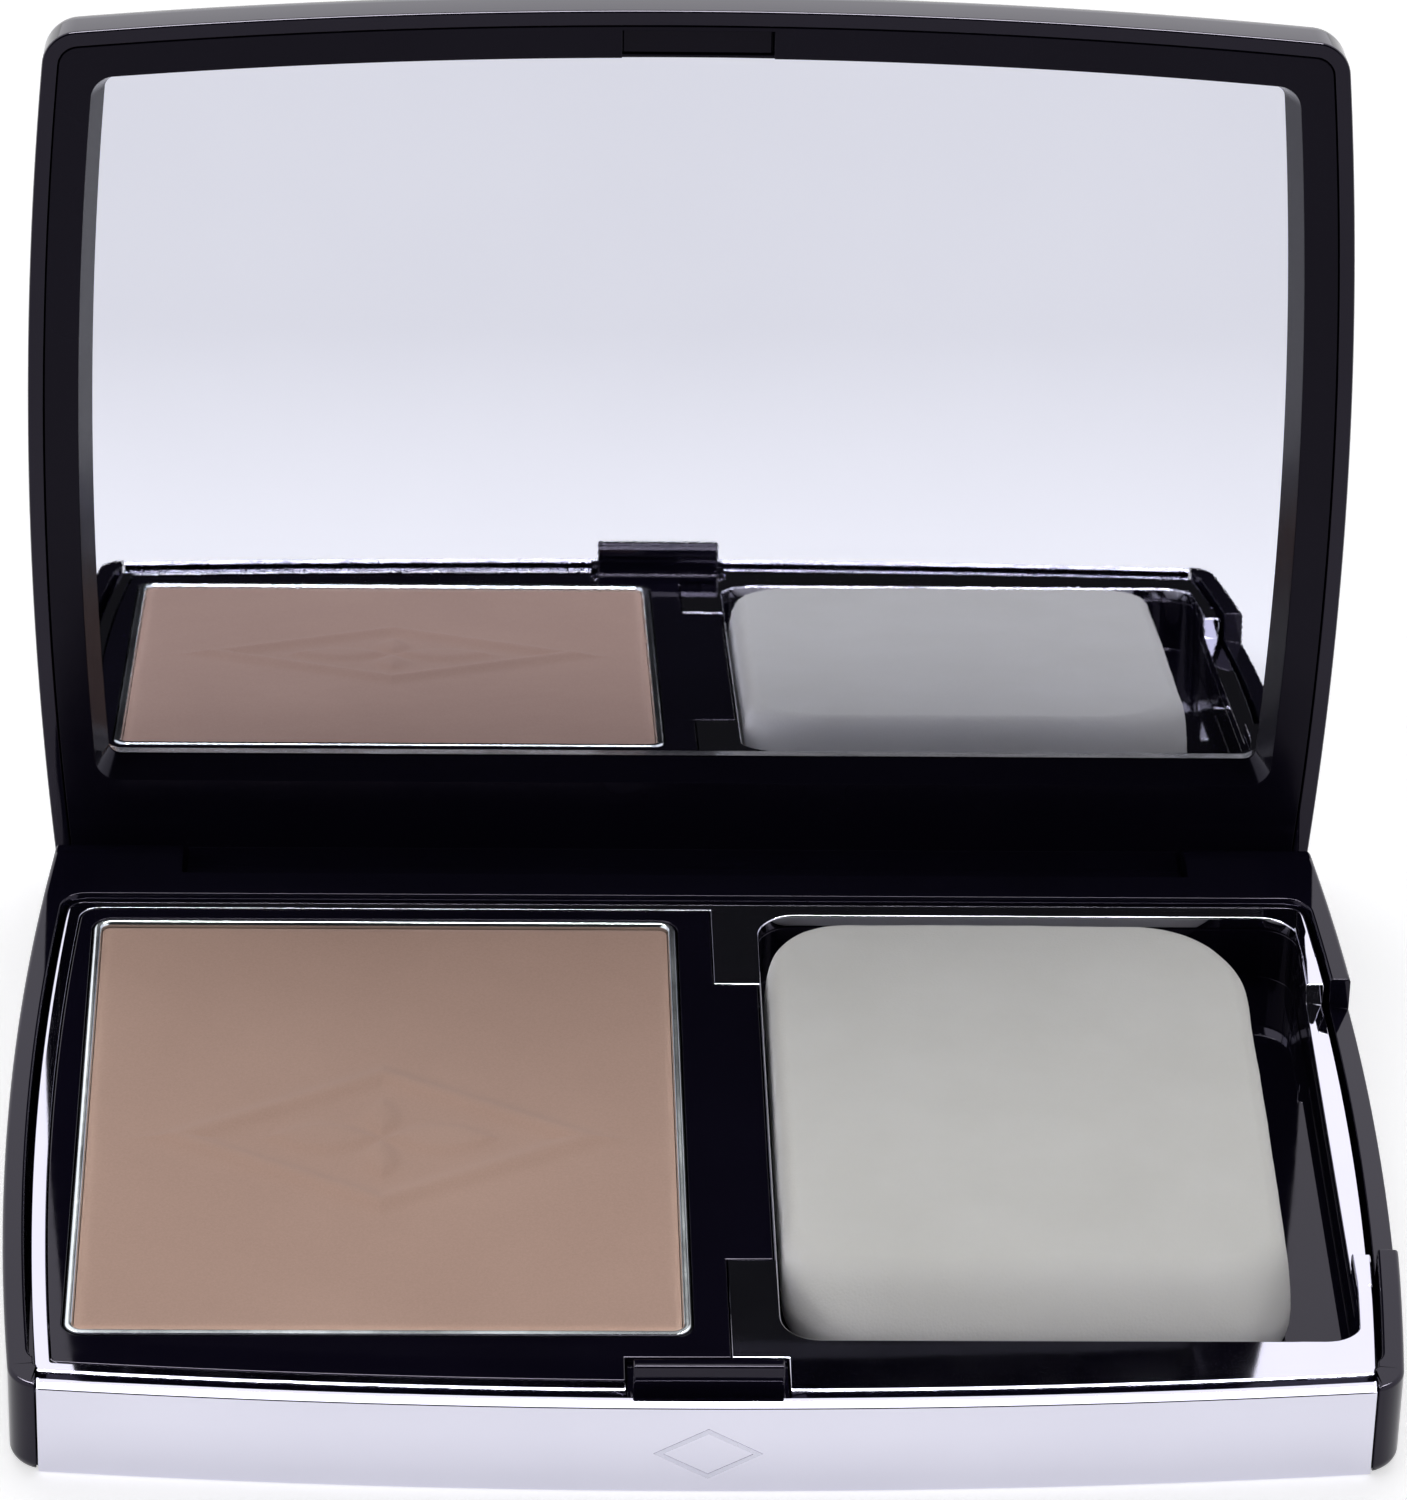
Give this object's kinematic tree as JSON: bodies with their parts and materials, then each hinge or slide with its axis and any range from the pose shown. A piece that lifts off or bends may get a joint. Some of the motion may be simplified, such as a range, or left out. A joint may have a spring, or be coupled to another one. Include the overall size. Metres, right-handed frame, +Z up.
{
  "type": "powder compact",
  "caption": "Hinged pressed-powder compact with mirror lid, lift-out powder refill and sponge well.",
  "frame": {"origin": "bottom centre of the bounding box in the open rest pose; the base rests on Z = 0", "axes": "+X to the right along the hinge axis, +Y to the back, from the latch to the hinge, +Z up"},
  "size_m": [0.108, 0.0978, 0.0784],
  "materials": {
    "black_plastic": "high gloss",
    "chrome": "bright plated plastic",
    "steel": "drawn wire",
    "aluminium": "pressed sheet",
    "powder": "pressed cosmetic powder, matte",
    "foam": "fine latex foam",
    "mirror": "polished",
    "label": "plain coated",
    "adhesive": "translucent"
  },
  "bodies": {
    "base": {"base_shell": "black_plastic", "base_label": "label", "front_band": "chrome", "deck_frame": "chrome", "sponge_well": "black_plastic", "latch_hook": "black_plastic", "hinge_pin_left": "steel", "hinge_pin_right": "steel"},
    "refill": {"powder_cassette": "black_plastic", "refill_label": "label", "pan_glue": "adhesive", "powder_pan": "aluminium", "pressed_powder": "powder"},
    "sponge": {"sponge": "foam"},
    "lid": {"lid_cover": "black_plastic", "lid_frame": "black_plastic", "strike_insert": "black_plastic", "mirror": "mirror", "mirror_tape_upper": "adhesive", "mirror_tape_lower": "adhesive"}
  },
  "joints": [
    {"name": "lid_hinge", "type": "hinge", "parent": "base", "child": "lid", "pos_m": [0, 0.02683, 0.0042], "axis": [-1, 0, 0], "range_deg": [-98.35, 12]},
    {"name": "refill_lift", "type": "slide", "parent": "base", "child": "refill", "axis": [0, 0, 1], "range_m": [0, 0.015]},
    {"name": "sponge_lift", "type": "slide", "parent": "base", "child": "sponge", "axis": [0, 0, 1], "range_m": [0, 0.015]}
  ]
}
